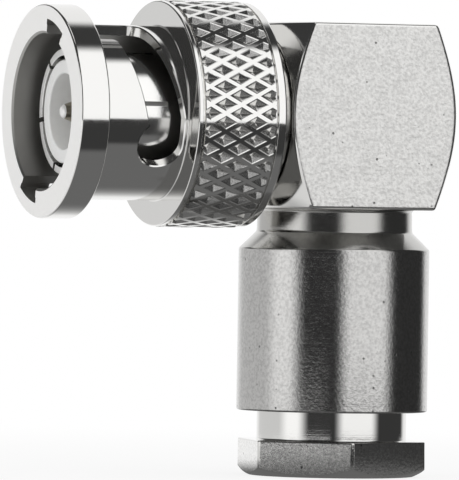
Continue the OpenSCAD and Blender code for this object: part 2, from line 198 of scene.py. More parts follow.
# Rows of corners (along, reach, fillet, normal of the face that follows), each spread over the directions.
# A fillet is the curve (1-t)^2 A + 2t(1-t) C + t^2 B from one face to the next, and the normal turns with it.
def outlineSurface(rows, directions, steps=3):
    m = len(directions)
    flat = np.array([np.stack([np.broadcast_to(row[0], m), np.broadcast_to(row[1], m)], -1) for row in rows])
    faceNormal = np.array([np.broadcast_to(row[3], (m, 3)) for row in rows])
    rings, arriving, leaving = [], [], []
    for i, row in enumerate(rows):
        here, into, out = flat[i], flat[i] - flat[i - 1], flat[(i + 1) % len(rows)] - flat[i]
        if row[2] <= 0:
            rings.append(here)
            arriving.append(faceNormal[i - 1])
            leaving.append(faceNormal[i])
            continue
        lengthIn, lengthOut = (np.linalg.norm(v, axis=1, keepdims=True) for v in (into, out))
        a = here - into / lengthIn * np.minimum(row[2], 0.45 * lengthIn)
        b = here + out / lengthOut * np.minimum(row[2], 0.45 * lengthOut)
        for t in np.linspace(0, 1, steps + 1):
            rings.append((1 - t) ** 2 * a + 2 * t * (1 - t) * here + t * t * b)
            normal = (1 - t) * faceNormal[i - 1] + t * faceNormal[i]
            normal /= np.linalg.norm(normal, axis=1, keepdims=True)
            arriving.append(normal)
            leaving.append(normal)
    rings = np.array(rings)
    points = np.concatenate([rings[..., :1], rings[..., 1:] * directions[None]], axis=-1)
    return ringSurface(points, np.array(leaving), np.roll(np.array(arriving), -1, axis=0))


# A rounded polygon as seen from its middle: unit directions, the reach along each, and the side's normal there.
def roundedPolygon(corners, fillet, spacing):
    points, normals = fineOutline(roundedProfile([(*corner, fillet) for corner in corners], True, 6), spacing)
    reach = np.linalg.norm(points, axis=1)
    return points / reach[:, None], reach, normals


# A normal that leans along the axis and points out or in across it, over all the directions.
def leaning(axial, outward, directions):
    normal = np.concatenate([np.full((len(directions), 1), float(axial)), outward * directions], axis=1)
    return normal / np.linalg.norm(normal, axis=1, keepdims=True)


# Keeps a normal for each corner of each face as an attribute that travels through cuts.
def storeNormals(mesh, normals):
    attribute = mesh.attributes.new("trueNormal", "FLOAT_VECTOR", "CORNER")
    attribute.data.foreach_set("vector", np.asarray(normals, np.float32).ravel())


# The vectors of one name from a mesh's faces, corners or attribute.
def readVectors(collection, name):
    values = np.empty(len(collection) * 3, np.float32)
    collection.foreach_get(name, values)
    return values.reshape(-1, 3)


def dropLoosePoints(bm):
    bmesh.ops.delete(bm, geom=[v for v in bm.verts if not v.link_faces], context="VERTS")


def shadeSmooth(mesh):
    mesh.polygons.foreach_set("use_smooth", np.ones(len(mesh.polygons), bool))


# A closed mesh object from points, faces and corner normals. Cutters are closed objects that are taken away.
# The true normals are stored before the cuts and put back at the end.
def makePiece(name, surface, place=alongPlug, cutters=()):
    points, faces, normals = surface
    points = place(np.asarray(points)) + (plugCentre if place is alongPlug else cableCentre)
    cleanFaces, cleanNormals = [], []
    for face, corner in zip(faces, normals):
        keep = [i for i in range(len(face)) if face[i] != face[i - 1]]  # a quad at a pole loses a corner
        if len(keep) > 2:
            cleanFaces.append([int(face[i]) for i in keep])
            cleanNormals.append(np.asarray(corner)[keep])
    flat = place(np.concatenate(cleanNormals))
    first = np.array([face[:3] for face in cleanFaces])
    lengths = np.array([len(face) for face in cleanFaces])
    starts = np.concatenate([[0], np.cumsum(lengths)[:-1]])
    if np.sum(triangleNormals(points[first]) * flat[starts]) <= 0:
        cleanFaces = [face[::-1] for face in cleanFaces]
        flat = np.concatenate([flat[s:s + n][::-1] for s, n in zip(starts, lengths)])
    mesh = bpy.data.meshes.new(name)
    mesh.from_pydata((points * mm).tolist(), [], cleanFaces)
    storeNormals(mesh, flat)
    bm = bmesh.new()
    bm.from_mesh(mesh)
    bmesh.ops.remove_doubles(bm, verts=bm.verts, dist=mergeDistance * mm)
    dropLoosePoints(bm)
    bm.to_mesh(mesh)
    bm.free()
    piece = bpy.data.objects.new(name, mesh)
    bpy.context.scene.collection.objects.link(piece)
    for cutter in cutters:
        cut = piece.modifiers.new("cut", "BOOLEAN")
        cut.operation, cut.solver, cut.object = "DIFFERENCE", "EXACT", cutter
        bpy.context.view_layer.update()
        graph = bpy.context.evaluated_depsgraph_get()
        finished = bpy.data.meshes.new_from_object(piece.evaluated_get(graph))
        piece.modifiers.clear()
        piece.data = finished
        bpy.data.objects.remove(cutter)
    restoreNormals(piece.data)
    piece.data.name = name
    return piece


# Puts the stored true normals back as the mesh's own, where they still agree with their face.
def restoreNormals(mesh):
    stored = readVectors(mesh.attributes["trueNormal"].data, "vector")
    totals = np.empty(len(mesh.polygons), np.int32)
    mesh.polygons.foreach_get("loop_total", totals)
    flat = np.repeat(readVectors(mesh.polygons, "normal"), totals, axis=0)
    size = np.linalg.norm(stored, axis=1, keepdims=True)
    unit = stored / np.maximum(size, 1e-6)
    dot = np.sum(unit * flat, axis=1, keepdims=True)
    unit = np.where(dot < 0, -unit, unit)
    unit = np.where(np.abs(dot) < 0.5, flat, unit)
    shadeSmooth(mesh)
    mesh.attributes.remove(mesh.attributes["trueNormal"])
    mesh.normals_split_custom_set(unit.tolist())


def turnedPiece(name, corners, directions, place=alongPlug, closed=True, steps=4, cutters=()):
    profile = roundedProfile(corners, closed, steps)
    return makePiece(name, turnedSurface(profile, directions, closed), place, cutters=cutters)


# Gives a piece its material and its body, and says which CAD nodes it stands for.
def finishPiece(piece, body, material, nodes):
    piece.data.materials.clear()
    piece.data.materials.append(material)
    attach(piece, body)
    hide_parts(*nodes)


# Middle of each face in millimetres, and its normal.
def faceFacts(piece):
    return readVectors(piece.data.polygons, "center") / mm, readVectors(piece.data.polygons, "normal")


# Further materials for a piece, and for each face the number of the one that it gets: 0 is the piece's own.
def addFinishes(piece, index, *materials):
    for material in materials:
        piece.data.materials.append(material)
    piece.data.polygons.foreach_set("material_index", index.astype(np.int32))


# A cutter turned about the cable axis; its profile starts and ends on the axis.
def drillCutter(corners):
    surface = turnedSurface(roundedProfile(corners, False), circleDirections(72), False)
    return cutterObject("drillCutter", surface, alongCable)


# A box-shaped cutter between two corners (a, u, w), turned about the plug axis by some degrees.
def boxCutter(low, high, turn=0.0):
    corners = np.array(list(product(*zip(low, high))), float)
    c, s = math.cos(math.radians(turn)), math.sin(math.radians(turn))
    corners[:, 1:] = corners[:, 1:] @ np.array([[c, s], [-s, c]])
    faces = np.array([[0, 1, 3, 2], [4, 6, 7, 5], [0, 4, 5, 1], [2, 3, 7, 6], [0, 2, 6, 4], [1, 5, 7, 3]])
    normal = triangleNormals(corners[faces])
    normal /= np.linalg.norm(normal, axis=1, keepdims=True)
    return cutterObject("boxCutter", (corners, faces, np.repeat(normal[:, None], 4, axis=1)), alongPlug)


# A finished closed mesh with its normals stored again, so that the faces it leaves behind are shaded by them.
def cutterObject(name, surface, place):
    piece = makePiece(name, surface, place)
    storeNormals(piece.data, readVectors(piece.data.corner_normals, "vector"))
    return piece


# Materials.

def newMaterial(name):
    material = bpy.data.materials.new(name)
    material.use_nodes = True
    tree = material.node_tree
    return material, tree, tree.nodes["Principled BSDF"]


# A node with some of its inputs or settings; an underscore in a name stands for the space in an input's name.
def addNode(tree, kind, **inputs):
    node = tree.nodes.new(kind)
    for key, value in inputs.items():
        socket = key.replace("_", " ")
        if socket in node.inputs:
            node.inputs[socket].default_value = value
        else:
            setattr(node, key, value)
    return node


# The result of a sum on numbers and sockets.
def mathNode(tree, operation, *values):
    node = addNode(tree, "ShaderNodeMath", operation=operation)
    for k, value in enumerate(values):
        if isinstance(value, (int, float)):
            node.inputs[k].default_value = value
        else:
            tree.links.new(value, node.inputs[k])
    return node.outputs[0]


# From low where the value is at start to high where it is at end.
def rampNode(tree, value, start, end, low=0.0, high=1.0, kind="LINEAR"):
    ramp = addNode(tree, "ShaderNodeMapRange", interpolation_type=kind, From_Min=start, From_Max=end,
                   To_Min=low, To_Max=high)
    tree.links.new(value, ramp.inputs["Value"])
    return ramp.outputs["Result"]


def noiseNode(tree, place, **inputs):
    noise = addNode(tree, "ShaderNodeTexNoise", **inputs)
    tree.links.new(place, noise.inputs["Vector"])
    return noise.outputs["Fac"]


def lengthNode(tree, vector):
    length = addNode(tree, "ShaderNodeVectorMath", operation="LENGTH")
    tree.links.new(vector, length.inputs[0])
    return length.outputs["Value"]


# Object coordinates in millimetres about a centre.
def objectPlace(tree, centre=(0, 0, 0)):
    place = addNode(tree, "ShaderNodeTexCoord")
    centred = addNode(tree, "ShaderNodeMapping")
    centred.inputs["Location"].default_value = [-v for v in centre]
    centred.inputs["Scale"].default_value = (1 / mm,) * 3
    tree.links.new(place.outputs["Object"], centred.inputs["Vector"])
    return centred.outputs["Vector"]


# Relief from heights, its depth in millimetres.
def addBump(tree, shader, heights, strength, depth):
    bump = addNode(tree, "ShaderNodeBump", Strength=strength, Distance=depth * mm)
    tree.links.new(heights, bump.inputs["Height"])
    tree.links.new(bump.outputs["Normal"], shader.inputs["Normal"])


# Plated metal: a sandy grain and a slow change of polish. A look with wear adds dull specks where the grain lies
# deep, and small pits in some cells; a look with ringStrength adds fine turning rings round its axis.
def platedMetal(name, look):
    material, tree, shader = newMaterial(name)
    link = tree.links.new
    bright = (*look["colour"], 1)
    shader.inputs["Metallic"].default_value = look.get("metallic", 1.0)
    shader.inputs["Base Color"].default_value = bright
    place = objectPlace(tree, look["centre"])
    grain = noiseNode(tree, place, Scale=look["grainScale"], Detail=3.0, Roughness=0.6)
    heights = grain
    if "wear" in look:
        shares = (1 - look["wear"], look["pitTone"])
        dull, deep = ((*[c * share for c in look["colour"]], 1) for share in shares)
        tone = addNode(tree, "ShaderNodeMixRGB", Color1=dull, Color2=bright)
        link(rampNode(tree, grain, *look["wornGrain"]), tone.inputs["Fac"])
        cells = addNode(tree, "ShaderNodeTexVoronoi", Scale=look["pitScale"])
        link(place, cells.inputs["Vector"])
        parts = addNode(tree, "ShaderNodeSeparateColor")
        link(cells.outputs["Color"], parts.inputs[0])
        whole = mathNode(tree, "MAXIMUM", rampNode(tree, cells.outputs["Distance"], *look["pitEdge"]),
                         mathNode(tree, "GREATER_THAN", parts.outputs[0], look["pitShare"]))
        pitted = addNode(tree, "ShaderNodeMixRGB", Color1=deep)
        link(whole, pitted.inputs["Fac"])
        link(tone.outputs["Color"], pitted.inputs["Color2"])
        link(pitted.outputs["Color"], shader.inputs["Base Color"])
        heights = mathNode(tree, "ADD", heights, mathNode(tree, "MULTIPLY", whole, look["pitDepth"]))
    if "ringStrength" in look:
        # noise along the axis plus the distance from it, so the rings show on cylinders and faces alike
        split = addNode(tree, "ShaderNodeSeparateXYZ")
        link(place, split.inputs[0])
        across = addNode(tree, "ShaderNodeVectorMath", operation="MULTIPLY")
        across.inputs[1].default_value = [0 if axis == look["axis"] else 1 for axis in "XYZ"]
        link(place, across.inputs[0])
        rings = addNode(tree, "ShaderNodeTexNoise", Scale=look["ringScale"], Detail=4.0, Roughness=0.7,
                        noise_dimensions="1D")
        link(mathNode(tree, "ADD", split.outputs[look["axis"]], lengthNode(tree, across.outputs[0])),
             rings.inputs["W"])
        heights = mathNode(tree, "ADD", heights,
                           mathNode(tree, "MULTIPLY", rings.outputs["Fac"], look["ringStrength"]))
    addBump(tree, shader, heights, look["bump"], look["depth"])
    polish = noiseNode(tree, place, Scale=look["polishScale"], Detail=2.0)
    link(rampNode(tree, polish, 0.0, 1.0, *look["roughness"]), shader.inputs["Roughness"])
    return material


# Plastic or rubber with a faint uneven skin.
def softMaterial(name, look):
    material, tree, shader = newMaterial(name)
    skin = noiseNode(tree, objectPlace(tree), Scale=look["skinScale"], Detail=3.0)
    tone = addNode(tree, "ShaderNodeMixRGB", Color1=(*look["dark"], 1), Color2=(*look["light"], 1))
    tree.links.new(skin, tone.inputs["Fac"])
    tree.links.new(tone.outputs["Color"], shader.inputs["Base Color"])
    addBump(tree, shader, skin, look["bump"], look["depth"])
    shader.inputs["Roughness"].default_value = look["roughness"]
    return material


plugAxis = {"axis": "X", "centre": (0, 0, plugHeight)}
cableAxis = {"axis": "Z", "centre": (0, 0, 0)}
wornSkin = {"wornGrain": (0.36, 0.60), "pitScale": 1.3, "pitShare": 0.35, "pitEdge": (0.06, 0.13),
            "pitTone": 0.25, "pitDepth": 0.6}

turnedNickel = platedMetal("turnedNickel", {
    **plugAxis, "colour": (0.80, 0.795, 0.78), "grainScale": 6.0, "ringScale": 14.0, "ringStrength": 1.2,
    "bump": 0.10, "depth": 0.005, "polishScale": 1.2, "roughness": (0.06, 0.12)})
# Faced nickel: rougher, with a lighter colour and part diffuse, so that faced ends render brighter: painted
# light.
facedNickelPaintedBright = platedMetal("facedNickelPaintedBright", {
    **plugAxis, "colour": (0.94, 0.935, 0.92), "grainScale": 6.0, "ringScale": 14.0, "ringStrength": 1.0,
    "bump": 0.25, "depth": 0.01, "polishScale": 1.2, "roughness": (0.26, 0.34), "metallic": 0.35})
pitNickel = platedMetal("pitNickel", {
    **plugAxis, "colour": (0.80, 0.795, 0.78), "grainScale": 9.0,
    "bump": 0.4, "depth": 0.01, "polishScale": 1.2, "roughness": (0.16, 0.24)})
# Darker, rougher nickel for the inside of the nut's front: painted shade in the bore.
boreNickelPaintedShade = platedMetal("boreNickelPaintedShade", {
    **plugAxis, "colour": (0.46, 0.455, 0.44), "grainScale": 6.0, "ringScale": 9.0, "ringStrength": 0.6,
    "bump": 0.3, "depth": 0.01, "polishScale": 1.2, "roughness": (0.45, 0.55)})
sleeveNickel = platedMetal("sleeveNickel", {
    **cableAxis, **wornSkin, "colour": (0.57, 0.565, 0.555), "grainScale": 5.0, "ringScale": 9.0,
    "ringStrength": 0.25, "bump": 0.45, "depth": 0.02, "polishScale": 1.0, "roughness": (0.09, 0.17),
    "wear": 0.22})
blockNickel = platedMetal("blockNickel", {
    **plugAxis, **wornSkin, "colour": (0.80, 0.795, 0.78), "grainScale": 5.0,
    "bump": 0.8, "depth": 0.02, "polishScale": 1.0, "roughness": (0.26, 0.34), "wear": 0.22})
nutNickel = platedMetal("nutNickel", {
    **cableAxis, "colour": (0.74, 0.735, 0.72), "grainScale": 4.0, "ringScale": 12.0, "ringStrength": 0.5,
    "bump": 0.08, "depth": 0.006, "polishScale": 1.0, "roughness": (0.03, 0.055)})
# Darker nickel for the neck: painted shade under the block.
neckNickelPaintedShade = platedMetal("neckNickelPaintedShade", {
    **cableAxis, "colour": (0.50, 0.495, 0.48), "grainScale": 4.0, "ringScale": 16.0, "ringStrength": 1.0,
    "bump": 0.25, "depth": 0.012, "polishScale": 1.0, "roughness": (0.10, 0.20)})
flatNickel = platedMetal("flatNickel", {
    **cableAxis, **wornSkin, "colour": (0.84, 0.835, 0.82), "grainScale": 6.0,
    "bump": 0.3, "depth": 0.015, "polishScale": 1.0, "roughness": (0.08, 0.14), "wear": 0.2})
contactPlate = platedMetal("contactPlate", {
    **plugAxis, "colour": (0.86, 0.855, 0.84), "grainScale": 7.0, "ringScale": 10.0, "ringStrength": 0.6,
    "bump": 0.15, "depth": 0.01, "polishScale": 1.4, "roughness": (0.10, 0.17)})
pinPlate = platedMetal("pinPlate", {
    **plugAxis, "colour": (0.36, 0.33, 0.27), "grainScale": 7.0, "ringScale": 10.0, "ringStrength": 0.6,
    "bump": 0.15, "depth": 0.01, "polishScale": 1.4, "roughness": (0.14, 0.22)})
springMetal = platedMetal("springMetal", {
    **plugAxis, "colour": (0.70, 0.68, 0.64), "grainScale": 8.0,
    "bump": 0.2, "depth": 0.01, "polishScale": 1.4, "roughness": (0.22, 0.34)})
whitePlastic = softMaterial("whitePlastic", {
    "dark": (0.86, 0.86, 0.845), "light": (0.92, 0.92, 0.91), "skinScale": 3.0, "bump": 0.12, "depth": 0.01,
    "roughness": 0.40})
sealRubber = softMaterial("sealRubber", {
    "dark": (0.016, 0.016, 0.017), "light": (0.035, 0.035, 0.036), "skinScale": 5.0, "bump": 0.5, "depth": 0.01,
    "roughness": 0.6})
print("materials ready")


# Coupling nut.

nutSizes = {
    "front": nutFront, "rear": nutRear, "knurlRadius": nutRadius,
    "knurlRear": 7.36, "knurlFront": 12.2, "knurlCount": 40, "pitStretch": 1.86, "pitBand": 0.345,
    "pitDepth": 0.34, "lip": 0.03, "lipDrop": 0.025,
    "grooveWidth": 0.16, "grooveDepth": 0.24, "stripDrop": 0.06, "shoulder": 12.68, "shoulderFillet": 0.08,
    "ringRadius": 6.8, "ringLength": 1.95, "barrelRadius": 5.575, "boreRadius": 4.95, "webFront": 8.0,
    "webRadius": 4.35, "mouthDepth": 0.12, "mouthRise": 0.14,
    "slotHalf": 1.25, "slotFloor": 5.9, "entryAngle": 21.0, "sweep": 91.0, "lead": 0.0213, "slotInside": 4.4,
    "holeCentre": 14.45, "holeRadius": 1.5, "holeOffset": 0.65, "rim": 0.07,
}


# Diamond pits between two families of raised bands, rolled round the nut.
# A diamond grid in p = u/pitch + v/length and q = u/pitch - v/length is laid out flat, trimmed to the zone and
# then wrapped: radius = knurl radius less the pyramid pit of its cell and a slight drop at the pit's edge.
def knurlBand(s):
    pitch = 2 * math.pi * s["knurlRadius"] / s["knurlCount"]
    length = pitch * s["pitStretch"]
    middle = (s["knurlRear"] + s["knurlFront"]) / 2
    edge = 0.5 * (1 - s["pitBand"] / pitch)
    lip = s["lip"]
    line = np.array([-0.5, -edge - lip, -edge + lip, -edge / 2, 0, edge / 2, edge - lip, edge + lip, 0.5])
    n = len(line)
    cellP, cellQ = np.meshgrid(line, line, indexing="ij")
    local = np.stack([cellP.ravel(), cellQ.ravel()], axis=-1)
    grid = np.arange(n * n).reshape(n, n)
    a, b, c, d = (part.ravel() for part in (grid[:-1, :-1], grid[1:, :-1], grid[1:, 1:], grid[:-1, 1:]))
    middleOf = (local[a] + local[c]) / 2
    along = (middleOf[:, 0] * middleOf[:, 1] > 0)[:, None]
    tris = np.concatenate([np.where(along, np.stack([a, b, c], -1), np.stack([a, b, d], -1)),
                           np.where(along, np.stack([a, c, d], -1), np.stack([b, c, d], -1))])
    rows = range(-4, 5)  # enough to reach past both ends of the zone
    centres = np.array([(i + (row % 2) / 2, row / 2) for row in rows for i in range(s["knurlCount"])])
    p = centres[:, None, 0] + centres[:, None, 1] + local[None, :, 0]
    q = centres[:, None, 0] - centres[:, None, 1] + local[None, :, 1]
    u, v = (p + q) / 2 * pitch, (p - q) / 2 * length + middle
    flat = np.stack([u.ravel(), v.ravel(), np.zeros(u.size)], axis=-1)
    faces = (tris[None] + (np.arange(len(centres)) * n * n)[:, None, None]).reshape(-1, 3)
    bm = bmesh.new()
    mesh = bpy.data.meshes.new("flatKnurl")
    mesh.from_pydata(flat.tolist(), [], faces.tolist())
    bm.from_mesh(mesh)
    bpy.data.meshes.remove(mesh)
    bmesh.ops.remove_doubles(bm, verts=bm.verts, dist=1e-5)
    for height, clearUp, clearDown in ((s["knurlRear"], False, True), (s["knurlFront"], True, False)):
        bmesh.ops.bisect_plane(bm, geom=bm.verts[:] + bm.edges[:] + bm.faces[:], plane_co=(0, height, 0),
                               plane_no=(0, 1, 0), dist=1e-6, clear_outer=clearUp, clear_inner=clearDown)
    bmesh.ops.triangulate(bm, faces=bm.faces[:])
    bm.verts.index_update()
    flat = np.array([vert.co[:] for vert in bm.verts])
    faces = np.array([[vert.index for vert in face.verts] for face in bm.faces])
    bm.free()
    u, v = flat[:, 0], flat[:, 1]
    across, up = u / pitch, (v - middle) / length
    p, q = across + up, across - up
    inside = np.maximum(np.abs(p - np.round(p)), np.abs(q - np.round(q)))
    fall = np.clip((edge - inside) / edge, 0, 1)
    lipFall = np.clip(1 - np.abs(inside - edge) / lip, 0, 1)
    radius = s["knurlRadius"] - s["pitDepth"] * fall - s["lipDrop"] * lipFall
    turn = u / s["knurlRadius"]
    points = np.stack([v, radius * np.cos(turn), radius * np.sin(turn)], axis=-1)
    flatNormal = triangleNormals(points[faces])
    flatNormal /= np.maximum(np.linalg.norm(flatNormal, axis=1, keepdims=True), 1e-12)
    outward = np.stack([np.zeros(len(points)), np.cos(turn), np.sin(turn)], axis=-1)
    flatNormal *= np.where(np.sum(flatNormal * outward[faces[:, 0]], axis=1) < 0, -1, 1)[:, None]
    onTop = (np.abs(radius - s["knurlRadius"]) < 1e-4)[faces].all(axis=1)
    normals = np.where(onTop[:, None, None], outward[faces], flatNormal[:, None])
    return points, faces, normals


# The points at one height along the axis, in order of their angle, each angle once.
def endRing(points, height):
    on = np.nonzero(np.abs(points[:, 0] - height) < 1e-4)[0]
    turn = np.arctan2(points[on, 2], points[on, 1]) % (2 * math.pi)
    turn = np.where(turn > 2 * math.pi - 1e-4, 0, turn)
    order = np.argsort(turn)
    keep = np.concatenate([[True], np.diff(turn[order]) > 1e-4])
    return points[on[order][keep]], turn[order][keep]


# Triangles that join two rings of points with different spacing, each given by its sorted angles.
def zipRings(anglesA, anglesB):
    na, nb = len(anglesA), len(anglesB)
    steps = np.concatenate([
        np.stack([np.roll(angles, -1) + np.where(np.arange(n) == n - 1, 2 * math.pi, 0), np.full(n, which),
                  np.arange(n)], -1)
        for angles, n, which in ((anglesA, na, 0), (anglesB, nb, 1))])
    steps = steps[np.lexsort((steps[:, 1], steps[:, 0]))]
    isA = steps[:, 1] == 0
    passedA, passedB = np.cumsum(isA), np.cumsum(~isA)
    a = np.where(isA, steps[:, 2].astype(int), passedA % na)
    b = np.where(isA, passedB % nb, steps[:, 2].astype(int))
    third = np.where(isA, (a + 1) % na, (b + 1) % nb)
    return a, b, third, isA


# The strip of triangles between two rings on a cone that rises inwards by slope along the axis.
def zipSurface(ringA, anglesA, ringB, anglesB, slope):
    a, b, third, isA = zipRings(anglesA, anglesB)
    na = len(anglesA)
    faces = np.stack([a, np.where(isA, third, na + third), na + b], axis=-1)
    turn = np.concatenate([anglesA, anglesB])
    cone = np.stack([np.full(len(turn), slope), np.cos(turn), np.sin(turn)], axis=-1)
    cone /= np.linalg.norm(cone, axis=1, keepdims=True)
    return np.concatenate([ringA, ringB]), faces, cone[faces]


# A closed outline with its long sides cut into short ones; every point keeps its outward normal.
def fineOutline(profile, longest):
    points, startNormals, endNormals = profile
    following = np.roll(points, -1, axis=0)
    atPoint = startNormals + np.roll(endNormals, 1, axis=0)
    atPoint /= np.linalg.norm(atPoint, axis=1, keepdims=True)
    finePoints, fineNormals = [], []
    for i in range(len(points)):
        pieces = max(1, int(math.ceil(np.linalg.norm(following[i] - points[i]) / longest)))
        share = np.arange(pieces)[:, None] / pieces
        finePoints.append(points[i] + share * (following[i] - points[i]))
        fineNormals.append(np.where(share == 0, atPoint[i], startNormals[i]))
    return np.concatenate(finePoints), np.concatenate(fineNormals)


# Outline of one bayonet slot, unrolled: entry groove, heel, ramp and locking hole, as (arc length, along).
def slotOutline(s):
    r = s["barrelRadius"]
    perDegree = math.pi / 180 * r
    half = s["slotHalf"]
    start = s["holeCentre"] - s["holeOffset"] + s["lead"] * s["sweep"]
    slope = s["lead"] / perDegree
    hole = s["sweep"] * perDegree
    low = s["holeCentre"] - s["holeRadius"]
    meet = (start - half - low) / slope
    rise = math.radians(146)  # where the ramp's front edge runs into the hole
    turn = np.linspace(-math.pi / 2, rise, 26)
    arc = [(hole + s["holeRadius"] * math.cos(t), s["holeCentre"] + s["holeRadius"] * math.sin(t), 0)
           for t in turn]
    rampEnd = arc[-1][0] - 0.2
    outside = s["front"] + 1  # the groove runs out through the front face
    corners = [(-half, outside, 0), (-half, start - half + 0.02, 1.0), (meet, low + 0.001, 0.5), *arc,
               (rampEnd, start + half - slope * rampEnd, 0.15), (half, start + half - slope * half, 0.5),
               (half, outside, 0)]
    return fineOutline(roundedProfile(corners, True, 8), 0.3)


# The slot's outline carried through the barrel's wall, flared a little at the outside for a broken edge.
# Points of a grid inside the outline keep the triangles small, so that they follow the barrel's curve.
def slotCutter(s, turnBy):
    outline, outlineNormal = slotOutline(s)
    count = len(outline)
    spacing, clear = 0.45, 0.2
    low, high = outline.min(axis=0) + clear, outline.max(axis=0)
    gridS, gridA = np.meshgrid(np.arange(low[0], high[0], spacing), np.arange(low[1], high[1], spacing))
    fill = np.stack([gridS.ravel(), gridA.ravel()], axis=-1)
    loop = np.roll(outline, -1, axis=0)
    crossing = ((outline[None, :, 1] > fill[:, None, 1]) != (loop[None, :, 1] > fill[:, None, 1]))
    rise = np.where(np.abs(loop[:, 1] - outline[:, 1]) < 1e-9, 1e-9, loop[:, 1] - outline[:, 1])
    share = (fill[:, None, 1] - outline[None, :, 1]) * (loop - outline)[None, :, 0] / rise[None]
    isIn = (crossing & (fill[:, None, 0] < outline[None, :, 0] + share)).sum(axis=1) % 2 == 1
    isClear = np.linalg.norm(fill[:, None] - outline[None], axis=2).min(axis=1) > clear
    flat = np.concatenate([outline, fill[isIn & isClear]])
    made = delaunay_2d_cdt([Vector(p) for p in flat], [], [list(range(count))], 1, 1e-6)
    flat = np.array([p[:] for p in made[0]])
    tris = np.array([f for f in made[2]])
    backTo = {ids[0]: i for i, ids in enumerate(made[3]) if ids}
    edge = np.array([backTo[i] for i in range(count)])
    rows = [(s["slotInside"], 0.0), (s["barrelRadius"] - s["rim"], 0.0),
            (s["barrelRadius"] + 0.01, s["rim"] + 0.01), (s["slotFloor"], s["rim"] + 0.01)]

    def wrap(points, radius):
        turn = points[:, 0] / s["barrelRadius"] + math.radians(turnBy)
        return np.stack([points[:, 1], radius * np.cos(turn), radius * np.sin(turn)], axis=-1)

    layers = []
    for radius, flare in rows:
        shifted = flat.copy()
        shifted[edge] = flat[edge] + outlineNormal * flare
        layers.append(wrap(shifted, radius))
    n = len(flat)
    points = np.concatenate(layers)
    faces = [*tris.tolist(), *(tris[:, ::-1] + (len(rows) - 1) * n).tolist()]
    nextEdge = np.roll(edge, -1)
    for k in range(len(rows) - 1):
        quads = np.stack([nextEdge + k * n, edge + k * n, edge + (k + 1) * n, nextEdge + (k + 1) * n], axis=-1)
        faces += quads.tolist()
    mesh = bpy.data.meshes.new("slotCutter")
    mesh.from_pydata(((alongPlug(points) + plugCentre) * mm).tolist(), [], faces)
    bm = bmesh.new()
    bm.from_mesh(mesh)
    dropLoosePoints(bm)
    bmesh.ops.recalc_face_normals(bm, faces=bm.faces)
    bm.to_mesh(mesh)
    bm.free()
    shadeSmooth(mesh)
    mesh.set_sharp_from_angle(angle=math.radians(30))
    storeNormals(mesh, readVectors(mesh.corner_normals, "vector"))
    cutter = bpy.data.objects.new("slotCutter", mesh)
    bpy.context.scene.collection.objects.link(cutter)
    return cutter


# The knurled band is joined at both ends to the nut's turned profile, and the two slots are cut.
def makeCouplingNut(s):
    band = knurlBand(s)
    barrel, ring, ringRear = s["barrelRadius"], s["ringRadius"], s["front"] - s["ringLength"]
    strip, floor = s["knurlRadius"] - s["stripDrop"], s["knurlRadius"] - s["grooveDepth"]
    frontGroove, rearGroove = s["knurlFront"] + s["grooveWidth"], s["knurlRear"] - s["grooveWidth"]
    corners = [
        (s["knurlFront"] + 0.03, floor, 0), (frontGroove, floor, 0.02), (frontGroove + 0.02, strip, 0.03),
        (s["shoulder"], strip, 0.1), (s["shoulder"], barrel, s["shoulderFillet"]), (ringRear, barrel, 0.1),
        (ringRear, ring, 0.13), (s["front"], ring, 0.13), (s["front"], s["boreRadius"] + s["mouthRise"], 0.03),
        (s["front"] - s["mouthDepth"], s["boreRadius"], 0.03), (s["webFront"], s["boreRadius"], 0.08),
        (s["webFront"], s["webRadius"], 0.08), (s["rear"], s["webRadius"], 0.08),
        (s["rear"], strip, 0.16), (rearGroove - 0.02, strip, 0.03), (rearGroove, floor, 0.02),
        (s["knurlRear"] - 0.03, floor, 0)]
    directions = circleDirections(288)
    turned = turnedSurface(roundedProfile(corners, False, 5), directions, False)
    angles = np.arctan2(directions[:, 1], directions[:, 0]) % (2 * math.pi)
    frontRing, rearRing = turned[0][:len(angles)], turned[0][-len(angles):]
    bandFront, frontTurns = endRing(band[0], s["knurlFront"])
    bandRear, rearTurns = endRing(band[0], s["knurlRear"])
    steep = 5.0  # the joining strips lie nearly across the axis
    surface = joinSurfaces(band, turned, zipSurface(bandFront, frontTurns, frontRing, angles, steep),
                           zipSurface(bandRear, rearTurns, rearRing, angles, -steep))
    slots = [slotCutter(s, s["entryAngle"] + half) for half in (0, 180)]
    return makePiece("couplingNut", surface, cutters=slots)


# The nut's end face is faced, and painted lighter and partly diffuse as painted light; its bore is duller and
# painted darker as painted shade inside it; its pits are matt.
def finishNut(nut, s):
    middles, facing = faceFacts(nut)
    along, away = -middles[:, 0], np.hypot(middles[:, 1], middles[:, 2] - plugHeight)
    isFacedPaintedBright = (along > s["front"] - 0.1) & (facing[:, 0] < -0.9)
    # painted shade: faces inside the nut's mouth get the darker bore colour
    isShadedBore = (away < s["boreRadius"] + 0.02) & ~isFacedPaintedBright | (away < s["slotFloor"]) & (along > s["front"] - 3)
    isPit = (np.abs(along - (s["knurlRear"] + s["knurlFront"]) / 2) < 2.4) & (away < s["knurlRadius"] - 0.012)
    index = np.select([isFacedPaintedBright, isShadedBore, isPit & (away > s["barrelRadius"])], [1, 2, 3], 0)
    addFinishes(nut, index, facedNickelPaintedBright, boreNickelPaintedShade, pitNickel)


couplingNut = makeCouplingNut(nutSizes)
finishPiece(couplingNut, "coupling_nut", turnedNickel, ["coupling_nut"])
finishNut(couplingNut, nutSizes)
print("coupling nut made")


